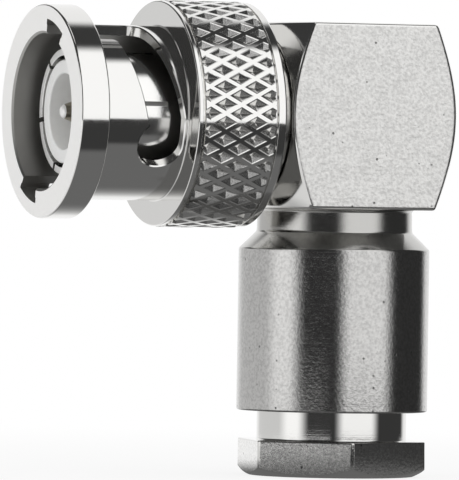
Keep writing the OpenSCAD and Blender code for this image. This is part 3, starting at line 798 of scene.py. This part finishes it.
# Square elbow block: a rounded square bar whose ends are turned to cones, bored along the plug axis.
blockRear, blockFront, blockHalf = plugSpan("block")
capRear, capFront, capRadius = plugSpan("access_cap")
bushRear, bushFront, flangeRadius = plugSpan("neck_bush")
spigotBottom, spigotTop, sleeveRadius = cableSpan("entry_sleeve")
blockSizes = {
    "front": 5.75, "endRadius": 5.65, "endAngle": 29.0, "corner": 0.22, "edge": 0.22, "rearEdge": 0.18,
    "collarRadius": 4.8, "seatRadius": 4.31, "boreRadius": 3.5, "sleeveHole": 4.0, "coreHole": 1.7, "gap": 0.01,
}


def makeBlock(s):
    half = blockHalf
    directions, reach, side = roundedPolygon([(half, -half), (half, half), (-half, half), (-half, -half)],
                                             s["corner"], 0.28)
    slope = math.tan(math.radians(s["endAngle"]))
    drop = (reach - s["endRadius"]) * slope
    acrossSide = np.concatenate([np.zeros((len(side), 1)), side], axis=1)
    inward, rearward, forward = (leaning(*way, directions) for way in ((0, -1), (-1, 0), (1, 0)))
    rows = [
        (blockRear, s["endRadius"], s["rearEdge"], leaning(-1, slope, directions)),
        (blockRear + drop, reach, s["edge"], acrossSide),
        (s["front"] - drop, reach, s["edge"], leaning(1, slope, directions)),
        (s["front"], s["endRadius"], s["edge"], forward),
        (s["front"], s["collarRadius"], 0, leaning(0, 1, directions)),
        (blockFront, s["collarRadius"], 0.05, forward), (blockFront, s["seatRadius"], 0.03, inward),
        (bushRear, s["seatRadius"], 0, forward), (bushRear, s["boreRadius"], 0, inward),
        (capFront, s["boreRadius"], 0, rearward), (capFront, capRadius + s["gap"], 0, inward),
        (blockRear, capRadius + s["gap"], 0.05, rearward)]
    below, holeTop = plugHeight - half - 1, spigotTop + 2 * s["gap"]
    hole = drillCutter([(below, 0, 0), (below, s["sleeveHole"], 0), (holeTop, s["sleeveHole"], 0),
                        (holeTop, s["coreHole"], 0), (plugHeight, s["coreHole"], 0), (plugHeight, 0, 0)])
    return makePiece("elbowBlock", outlineSurface(rows, directions), cutters=[hole])


# The block's turned ends and its bore are polished.
def finishBlock(block):
    _, facing = faceFacts(block)
    isTurned = (np.abs(facing[:, 0]) > 0.3) | (np.abs(facing[:, 1:]).max(axis=1) < 0.97)
    addFinishes(block, isTurned, turnedNickel)


elbowBlock = makeBlock(blockSizes)
finishPiece(elbowBlock, "plug_body", blockNickel, ["block"])
finishBlock(elbowBlock)
print("block made")


# Cable entry: sleeve, clamp nut and the stack that it presses on the cable.
sleeveSizes = {"shoulder": 14.57, "neckRadius": 4.975, "spigotRadius": 3.99, "boreRadius": 4.9, "seat": 12.6,
               "coreRadius": 1.8, "mouth": 0.3, "foot": 0.15}


def makeSleeve(s):
    below = plugHeight - blockHalf
    coneTop = s["shoulder"] + sleeveRadius - s["neckRadius"]
    seatTop = s["seat"] + s["boreRadius"] - s["coreRadius"]
    return turnedPiece("entrySleeve", [
        (spigotBottom, s["boreRadius"] + s["mouth"], 0.05), (spigotBottom, sleeveRadius, 0.12),
        (s["shoulder"], sleeveRadius, 0.22), (coneTop - 0.05, s["neckRadius"] + 0.03, 0.3),
        (below - s["foot"], s["neckRadius"], 0.15), (below, s["neckRadius"] + s["foot"], 0.03),
        (below, s["spigotRadius"], 0.03), (spigotTop, s["spigotRadius"], 0.05),
        (spigotTop, s["coreRadius"], 0.05), (seatTop, s["coreRadius"], 0.06), (s["seat"], s["boreRadius"], 0.1),
        (spigotBottom + s["mouth"], s["boreRadius"], 0.06)], circleDirections(192), alongCable)


# The neck above the shoulder gets a darker colour than the sleeve: painted shade under the block.
def finishSleeve(sleeve, s):
    middles, _ = faceFacts(sleeve)
    isShadedNeck = (middles[:, 2] > s["shoulder"]) & (np.hypot(middles[:, 0], middles[:, 1]) < sleeveRadius - 0.02)
    addFinishes(sleeve, isShadedNeck, neckNickelPaintedShade)


entrySleeve = makeSleeve(sleeveSizes)
finishPiece(entrySleeve, "plug_body", sleeveNickel, ["entry_sleeve"])
finishSleeve(entrySleeve, sleeveSizes)

clampNutSizes = {"acrossFlats": 11.0, "height": 2.3, "turn": -101.7, "corner": 0.34, "circle": 5.3,
                 "shankRadius": 4.825, "boreRadius": 2.75, "mouth": 0.25}


def makeClampNut(s):
    shankTop = cableSpan("clamp_nut")[1]
    turns = np.radians(s["turn"] + 60 * np.arange(6))
    corners = s["acrossFlats"] / math.sqrt(3) * np.stack([np.cos(turns), np.sin(turns)], -1)
    directions, reach, side = roundedPolygon(corners, s["corner"], 0.25)
    acrossSide = np.concatenate([np.zeros((len(side), 1)), side], axis=1)
    inward, up, down = (leaning(*way, directions) for way in ((0, -1), (1, 0), (-1, 0)))
    rows = [
        (0.0, s["boreRadius"] + s["mouth"], 0.04, down), (0.0, s["circle"], 0.05, leaning(-2, 1, directions)),
        ((reach - s["circle"]) / 2, reach, 0.07, acrossSide), (s["height"], reach, 0.1, up),
        (s["height"], s["shankRadius"], 0.12, leaning(0, 1, directions)),
        (shankTop, s["shankRadius"], 0.2, up), (shankTop, s["boreRadius"], 0.06, inward),
        (s["mouth"], s["boreRadius"], 0.04, leaning(-1, -1, directions))]
    return makePiece("clampNut", outlineSurface(rows, directions), alongCable)


# The clamp nut's flats are milled; the rest of it is turned.
def finishClampNut(nut, s):
    middles, facing = faceFacts(nut)
    offFlat = np.abs((np.degrees(np.arctan2(facing[:, 1], facing[:, 0])) - s["turn"]) % 60 - 30)
    isOutside = np.hypot(middles[:, 0], middles[:, 1]) > s["shankRadius"] + 0.1
    isFlat = (middles[:, 2] < s["height"]) & (np.abs(facing[:, 2]) < 0.1) & (offFlat < 6) & isOutside
    addFinishes(nut, isFlat, flatNickel)


clampNut = makeClampNut(clampNutSizes)
finishPiece(clampNut, "clamp_nut", nutNickel, ["clamp_nut"])
finishClampNut(clampNut, clampNutSizes)

stackSizes = {"boreRadius": 2.65, "coreRadius": 1.8, "grooveRadius": 3.7, "grooveHalf": 0.75, "grooveDepth": 0.9,
              "grooveSlack": 0.12, "rim": 0.5, "noseRadius": 2.0}
stackDirections = circleDirections(128)
washerLow, washerHigh, stackRadius = cableSpan("clamp_washer")
clampWasher = turnedPiece("clampWasher", [
    (washerLow, stackSizes["boreRadius"], 0.06), (washerLow, stackRadius, 0.1), (washerHigh, stackRadius, 0.1),
    (washerHigh, stackSizes["boreRadius"], 0.06)], stackDirections, alongCable)
finishPiece(clampWasher, "clamp_stack", nutNickel, ["clamp_washer"])
gasketLow, gasketHigh, _ = cableSpan("cable_gasket")
grooveRadius, grooveHalf = stackSizes["grooveRadius"], stackSizes["grooveHalf"]
cableGasket = turnedPiece("cableGasket", [
    (gasketLow, stackSizes["boreRadius"], 0.12), (gasketLow, stackRadius, 0.15), (gasketHigh, stackRadius, 0.12),
    (gasketHigh, grooveRadius + grooveHalf, 0.05), (gasketHigh - stackSizes["grooveDepth"], grooveRadius, 0.1),
    (gasketHigh, grooveRadius - grooveHalf, 0.05), (gasketHigh, stackSizes["boreRadius"], 0.08)],
    stackDirections, alongCable)
finishPiece(cableGasket, "clamp_stack", sealRubber, ["cable_gasket"])
clampLow, clampHigh, _ = cableSpan("braid_clamp")
rimLow, ridgeHalf = gasketHigh + 0.02, grooveHalf - stackSizes["grooveSlack"]
braidClamp = turnedPiece("braidClamp", [
    (rimLow, stackSizes["coreRadius"], 0.06), (rimLow, grooveRadius - ridgeHalf, 0.05),
    (clampLow, grooveRadius, 0.1), (rimLow, grooveRadius + ridgeHalf, 0.05), (rimLow, stackRadius, 0.08),
    (rimLow + stackSizes["rim"], stackRadius, 0.08), (clampHigh, stackSizes["noseRadius"], 0.08),
    (clampHigh, stackSizes["coreRadius"], 0.06)], stackDirections, alongCable)
finishPiece(braidClamp, "clamp_stack", contactPlate, ["braid_clamp"])
print("cable entry made")


# Plug interface: slotted outer contact, white cup, pin, bush, seal and springs.
contactSizes = {"boreRadius": 3.55, "footRadius": 3.74, "bodyRadius": 4.05, "slits": 6, "slitWidth": 0.3,
                "slitLength": 5.5, "slitTurn": 22.0, "tip": 0.12}
contactRear, contactFront, landRadius = plugSpan("outer_contact")
ringRear, ringFront, ringRadius = plugSpan("interface_gasket")


def makeOuterContact(s):
    slits = [boxCutter((contactFront - s["slitLength"], 2.5, -s["slitWidth"] / 2),
                       (contactFront + 1, 5.0, s["slitWidth"] / 2), s["slitTurn"] + 360 / s["slits"] * k)
             for k in range(s["slits"])]
    return turnedPiece("outerContact", [
        (contactRear, s["boreRadius"], 0.04), (contactRear, s["footRadius"], 0.04),
        (bushFront + 0.01, s["footRadius"], 0), (bushFront + 0.01, landRadius, 0.05),
        (ringFront, landRadius, 0.06), (ringFront, s["bodyRadius"], 0.05),
        (contactFront - s["tip"], s["bodyRadius"], 0.1), (contactFront, s["bodyRadius"] - s["tip"] / 2, 0.03),
        (contactFront, s["boreRadius"], 0.04)], circleDirections(180), cutters=slits)


# The contact's front rim is faced, and painted lighter as painted light on it.
def finishContact(contact):
    middles, facing = faceFacts(contact)
    isFacedPaintedBright = (-middles[:, 0] > contactFront - 0.05) & (facing[:, 0] < -0.8)
    addFinishes(contact, isFacedPaintedBright, facedNickelPaintedBright)


outerContact = makeOuterContact(contactSizes)
finishPiece(outerContact, "plug_body", contactPlate, ["outer_contact"])
finishContact(outerContact)

cupSizes = {"radius": 3.3, "boreRadius": 2.415, "depth": 5.6, "gap": 0.25, "floor": 1.5, "neckRadius": 0.885,
            "bodyBore": 1.11, "step": 0.3}
cupRear, cupFront, cupBody = plugSpan("front_insulator")
cupFloor = cupFront - cupSizes["depth"]
floorRear = cupFloor - cupSizes["floor"]
cupStep = contactFront - contactSizes["slitLength"] - cupSizes["step"]
insulatorCup = turnedPiece("insulatorCup", [
    (cupRear, cupSizes["bodyBore"], 0.05), (cupRear, cupBody, 0.08), (cupStep - cupSizes["gap"], cupBody, 0.08),
    (cupStep, cupSizes["radius"], 0.05), (cupFront, cupSizes["radius"], 0.12),
    (cupFront, cupSizes["boreRadius"], 0.12), (cupFloor, cupSizes["boreRadius"], 0.15),
    (cupFloor, cupSizes["neckRadius"], 0.03), (floorRear, cupSizes["neckRadius"], 0),
    (floorRear, cupSizes["bodyBore"], 0)], circleDirections(160))
finishPiece(insulatorCup, "plug_body", whitePlastic, ["front_insulator"])

pinSizes = {"radius": 0.675, "neckRadius": 0.875, "forkHalf": 0.475, "forkLength": 2.4, "nose": 0.81,
            "noseRadius": 0.38, "paintedHighlightNose": 0.45}
pinRear, pinFront, pinBody = plugSpan("centre_pin")
pinShoulder = floorRear - 0.02
fork = boxCutter((pinRear - 1, -3, -pinSizes["forkHalf"]),
                 (pinRear + pinSizes["forkLength"], 3, pinSizes["forkHalf"]))
centrePin = turnedPiece("centrePin", [
    (pinRear, 0, 0), (pinRear, pinBody, 0.1), (pinShoulder, pinBody, 0.08),
    (pinShoulder, pinSizes["neckRadius"], 0.03), (cupFloor, pinSizes["neckRadius"], 0.04),
    (cupFloor, pinSizes["radius"], 0.02), (pinFront - pinSizes["nose"], pinSizes["radius"], 0.6),
    (pinFront, pinSizes["noseRadius"], 0.3), (pinFront, 0, 0)],
    circleDirections(96), closed=False, steps=8, cutters=[fork])
finishPiece(centrePin, "plug_body", pinPlate, ["centre_pin"])
# The pin's nose gets the lighter faced nickel: a painted highlight on its tip.
addFinishes(centrePin, -faceFacts(centrePin)[0][:, 0] > pinFront - pinSizes["paintedHighlightNose"], facedNickelPaintedBright)

bushSizes = {"boreRadius": 3.75, "bodyRadius": 4.3, "flange": 0.7}
flangeRear = bushFront - bushSizes["flange"]
neckBush = turnedPiece("neckBush", [
    (bushRear, bushSizes["boreRadius"], 0.04), (bushRear, bushSizes["bodyRadius"], 0.06),
    (flangeRear, bushSizes["bodyRadius"], 0.06), (flangeRear, flangeRadius, 0.08),
    (bushFront, flangeRadius, 0.08), (bushFront, bushSizes["boreRadius"], 0.05)], circleDirections(160))
finishPiece(neckBush, "plug_body", turnedNickel, ["neck_bush"])
sealBore = landRadius + 0.01
sealRing = turnedPiece("sealRing", [
    (ringRear, sealBore, 0.12), (ringRear, ringRadius, 0.2), (ringFront, ringRadius, 0.2),
    (ringFront, sealBore, 0.12)], circleDirections(160), steps=6)
finishPiece(sealRing, "plug_body", sealRubber, ["interface_gasket"])
waveSizes = {"sheet": 0.2, "innerRadius": 4.4, "waves": 3, "pressed": 0.44}
thrustRear, thrustFront, thrustRadius = plugSpan("thrust_washer")
thrustWasher = turnedPiece("thrustWasher", [
    (thrustRear, waveSizes["innerRadius"], 0.04), (thrustRear, thrustRadius, 0.05),
    (thrustFront, thrustRadius, 0.05), (thrustFront, waveSizes["innerRadius"], 0.04)], circleDirections(160))
finishPiece(thrustWasher, "nut_carrier", springMetal, ["thrust_washer"])


# A flat ring bent into waves: along = sheet's own place + rise (1 + phase sin(waves t)).
def makeWaveWasher(name, node, phase, s):
    rear, front, radius = plugSpan(node)
    rise = (front - rear - s["sheet"]) / 2
    points, faces, normals = turnedSurface(roundedProfile([
        (rear, s["innerRadius"], 0.03), (rear, radius, 0.03), (rear + s["sheet"], radius, 0.03),
        (rear + s["sheet"], s["innerRadius"], 0.03)], True, 2), circleDirections(192))
    points = points.copy()
    around = np.arctan2(points[:, 2], points[:, 1])
    points[:, 0] += rise * (1 + phase * np.sin(s["waves"] * around))
    lean = rise * phase * s["waves"] * np.cos(s["waves"] * around) / np.hypot(points[:, 1], points[:, 2])
    tangent = np.stack([np.zeros(len(points)), -np.sin(around), np.cos(around)], axis=-1)
    normals = normals - normals[..., :1] * (lean[:, None] * tangent)[faces]
    normals /= np.linalg.norm(normals, axis=2, keepdims=True)
    piece = makePiece(name, (points, faces, normals))
    finishPiece(piece, "plug_body", springMetal, [node])
    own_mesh(piece)


makeWaveWasher("waveWasherRear", "wave_washer_rear", -1, waveSizes)
makeWaveWasher("waveWasherFront", "wave_washer_front", 1, waveSizes)
print("plug interface made")


# Elbow: insulator with its soldering opening, and the access cap with its disc.
elbowSizes = {
    "boreRadius": 1.11, "drillBottom": plugHeight - 7, "openRadius": blockSizes["coreHole"],
    "offset": 0.03,  # keeps the cutters' faces off each other and off the bore's points
}
elbowRear, elbowFront, elbowRadius = plugSpan("elbow_insulator")


def makeElbowInsulator(s):
    drillTop, openingHalf = plugHeight + s["offset"], s["openRadius"] - s["offset"]
    openings = [
        drillCutter([(s["drillBottom"], 0, 0), (s["drillBottom"], s["openRadius"], 0),
                     (drillTop, s["openRadius"], 0), (drillTop, 0, 0)]),
        boxCutter((elbowRear - 1, -openingHalf, -openingHalf), (s["offset"] / 2, openingHalf, openingHalf))]
    return turnedPiece("elbowInsulator", [
        (elbowRear, s["boreRadius"], 0.04), (elbowRear, elbowRadius, 0.08), (elbowFront, elbowRadius, 0.08),
        (elbowFront, s["boreRadius"], 0.04)], circleDirections(144), cutters=openings)


elbowInsulator = makeElbowInsulator(elbowSizes)
finishPiece(elbowInsulator, "plug_body", whitePlastic, ["elbow_insulator"])
discRear, discFront, discRadius = plugSpan("cap_insulator")
capInsulator = turnedPiece("capInsulator", [
    (discRear, 0, 0), (discRear, discRadius, 0.08), (discFront, discRadius, 0.08), (discFront, 0, 0)],
    circleDirections(144), closed=False)
finishPiece(capInsulator, "plug_body", whitePlastic, ["cap_insulator"])
capSizes = {"slotHalf": 0.5, "slotDepth": 0.7}
capSlot = boxCutter((capRear - 1, -6, -capSizes["slotHalf"]),
                    (capRear + capSizes["slotDepth"], 6, capSizes["slotHalf"]))
accessCap = turnedPiece("accessCap", [
    (capRear, 0, 0), (capRear, capRadius, 0.1), (capFront, capRadius, 0.05), (capFront, 0, 0)],
    circleDirections(160), closed=False, cutters=[capSlot])
finishPiece(accessCap, "plug_body", turnedNickel, ["access_cap"])
print("elbow made")


# Floor, studio and camera.
floorLook = {
    "half": 1.2, "sink": 1e-5, "tone": 0.8, "shadow": 0.16, "shadowEnd": (0.03, 0.10),
    # painted reflection: what metal sees of the paper is painted by place, as (start, end, brightness) in
    # millimetres: painted shade darkest in front, painted light behind and on the left, and painted shade again
    # on the right
    "front": 0.045, "middle": (-32, -26, 0.155), "right": (12, 26, 0.045), "rear": (5, 32, 1.0),
    "left": (-27, -35, 0.8), "farLeft": (-55, -70, 1.0),
    # beyond this reach, and when seen at a grazing angle, the paper's sheen gives the softboxes
    "reach": 75, "grazing": 0.864,
}
studio = {
    "base": 0.045, "diffuse": 1.0,
    # softboxes: azimuth from -Y towards +X and its edge softness, elevation and its edge softness, strength
    "boxes": [(-12, 47, 18, -40, 44, 8, 1.12), (-12, 60, 18, 44, 61, 8, 1.12), (-104, -69, 22, -40, 24, 5, 1.2),
              (-178, -104, 22, -40, 14, 6, 0.7), (-400, 400, 1, 74, 100, 6, 0.8)],
    "backdrop": (120, 182, 22, -40, 60, 12, 0.95),
}


def makeFloor(half, sink):
    mesh = bpy.data.meshes.new("floor")
    corners = [(-half, -half, -sink), (half, -half, -sink), (half, half, -sink), (-half, half, -sink)]
    mesh.from_pydata(corners, [], [(0, 1, 2, 3)])
    paper = bpy.data.objects.new("floor", mesh)
    bpy.context.scene.collection.objects.link(paper)
    return paper


# Smooth window: 1 between low and high, 0 beyond them, with a ramp of the given softness.
def windowNodes(tree, value, low, high, soft):
    edges = [rampNode(tree, value, at - soft / 2, at + soft / 2, *ends, "SMOOTHSTEP")
             for at, ends in ((low, (0.0, 1.0)), (high, (1.0, 0.0)))]
    return mathNode(tree, "MULTIPLY", *edges)


# From low where share is 0 to high where it is 1.
def blend(tree, share, low, high):
    return mathNode(tree, "ADD", mathNode(tree, "MULTIPLY", low, mathNode(tree, "SUBTRACT", 1.0, share)),
                    mathNode(tree, "MULTIPLY", high, share))


# 1 for a ray that comes from a mirror or from glass.
def mirroredRay(tree, path):
    return mathNode(tree, "MAXIMUM", path.outputs["Is Glossy Ray"], path.outputs["Is Transmission Ray"])


# The studio round the object, by direction; seen directly it is a white backdrop.
def makeStudio(look):
    world = bpy.data.worlds.new("studio")
    bpy.context.scene.world = world
    world.use_nodes = True
    tree = world.node_tree
    tree.nodes.clear()
    place = addNode(tree, "ShaderNodeTexCoord")
    split = addNode(tree, "ShaderNodeSeparateXYZ")
    tree.links.new(place.outputs["Generated"], split.inputs[0])
    x, y, z = split.outputs
    azimuth = mathNode(tree, "DEGREES", mathNode(tree, "ARCTAN2", x, mathNode(tree, "MULTIPLY", y, -1.0)))
    wrapped = mathNode(tree, "MULTIPLY", 360.0, mathNode(tree, "LESS_THAN", azimuth, -90.0))
    aroundBack = mathNode(tree, "ADD", azimuth, wrapped)
    elevation = mathNode(tree, "DEGREES", mathNode(tree, "ARCSINE", z))
    level = look["base"]
    for turn, (*sides, bottom, top, soft, strength) in (
            [(azimuth, box) for box in look["boxes"]] + [(aroundBack, look["backdrop"])]):
        window = mathNode(tree, "MULTIPLY", windowNodes(tree, turn, *sides),
                          windowNodes(tree, elevation, bottom, top, soft))
        level = mathNode(tree, "ADD", level, mathNode(tree, "MULTIPLY", window, strength))
    path = addNode(tree, "ShaderNodeLightPath")
    # the backdrop, the last window, is as white in the metal as it is when seen directly
    white = mathNode(tree, "MAXIMUM", path.outputs["Is Camera Ray"],
                     mathNode(tree, "MULTIPLY", window, mirroredRay(tree, path)))
    level = blend(tree, path.outputs["Is Diffuse Ray"], level, look["diffuse"])
    backdrop = addNode(tree, "ShaderNodeBackground", Color=(1, 1, 1, 1))
    tree.links.new(blend(tree, white, level, 1.0), backdrop.inputs["Strength"])
    output = addNode(tree, "ShaderNodeOutputWorld")
    tree.links.new(backdrop.outputs[0], output.inputs["Surface"])


def mixShaders(tree, share, first, second):
    mix = addNode(tree, "ShaderNodeMixShader")
    for source, socket in zip((share, first, second), mix.inputs):
        tree.links.new(source, socket)
    return mix.outputs[0]


# White paper that keeps the object's shadow. For mirror rays it is a glow with painted reflection: painted light
# behind the object and on its left, and painted shade in front and on the right; away from the object, at a
# grazing angle, the paper's sheen gives the softboxes.
def makeFloorMaterial(look):
    material, tree, shader = newMaterial("floorPaper")
    shader.inputs["Roughness"].default_value = 0.9
    shader.inputs["Base Color"].default_value = (look["tone"],) * 3 + (1,)
    place = addNode(tree, "ShaderNodeTexCoord").outputs["Object"]
    split = addNode(tree, "ShaderNodeSeparateXYZ")
    tree.links.new(place, split.inputs[0])
    distance = lengthNode(tree, place)
    path = addNode(tree, "ShaderNodeLightPath")
    paintedReflectionLevel = look["front"]
    for part, side in (("middle", "Y"), ("right", "X"), ("rear", "Y"), ("left", "X"), ("farLeft", "X")):
        start, end, tone = look[part]
        share = rampNode(tree, split.outputs[side], start * mm, end * mm, kind="SMOOTHSTEP")
        paintedReflectionLevel = blend(tree, share, paintedReflectionLevel, tone)
    # For mirror rays the paper glows at this painted level: a painted reflection.
    paper = addNode(tree, "ShaderNodeEmission")
    tree.links.new(paintedReflectionLevel, paper.inputs["Strength"])
    slant = addNode(tree, "ShaderNodeLayerWeight").outputs["Facing"]
    beyond = mathNode(tree, "MULTIPLY", mathNode(tree, "GREATER_THAN", distance, look["reach"] * mm),
                      mathNode(tree, "GREATER_THAN", slant, look["grazing"]))
    clear = addNode(tree, "ShaderNodeBsdfTransparent").outputs[0]
    mirrored = mixShaders(tree, beyond, paper.outputs[0], clear)
    near = rampNode(tree, distance, *look["shadowEnd"], look["shadow"], 0.0, "SMOOTHSTEP")
    direct = mixShaders(tree, near, addNode(tree, "ShaderNodeEmission").outputs[0], shader.outputs[0])
    bySight = mixShaders(tree, path.outputs["Is Camera Ray"], shader.outputs[0], direct)
    byMirror = mixShaders(tree, mirroredRay(tree, path), bySight, mirrored)
    tree.links.new(byMirror, tree.nodes["Material Output"].inputs["Surface"])
    return material


floor = makeFloor(floorLook["half"], floorLook["sink"])
makeStudio(studio)
floor.data.materials.append(makeFloorMaterial(floorLook))
print("studio made")

cameraPlace = {"from": (-205.8, -457.0, 19.15), "at": (-6.65, 1.62, 15.06), "lens": 583.6, "sensor": 36.0,
               "roll": 0.90, "clip": (0.05, 10.0)}
cameraData = bpy.data.cameras.new("camera")
camera = bpy.data.objects.new("camera", cameraData)
bpy.context.scene.collection.objects.link(camera)
bpy.context.scene.camera = camera
cameraData.sensor_width = cameraPlace["sensor"]
cameraData.lens = cameraPlace["lens"]
cameraData.clip_start, cameraData.clip_end = cameraPlace["clip"]
camera.location = Vector(cameraPlace["from"]) * mm
aim = (Vector(cameraPlace["at"]) - Vector(cameraPlace["from"])).to_track_quat("-Z", "Y")
camera.rotation_mode = "QUATERNION"
camera.rotation_quaternion = aim @ Quaternion((0, 0, 1), math.radians(cameraPlace["roll"]))
bpy.context.scene.view_settings.view_transform = "Standard"
print("camera placed")
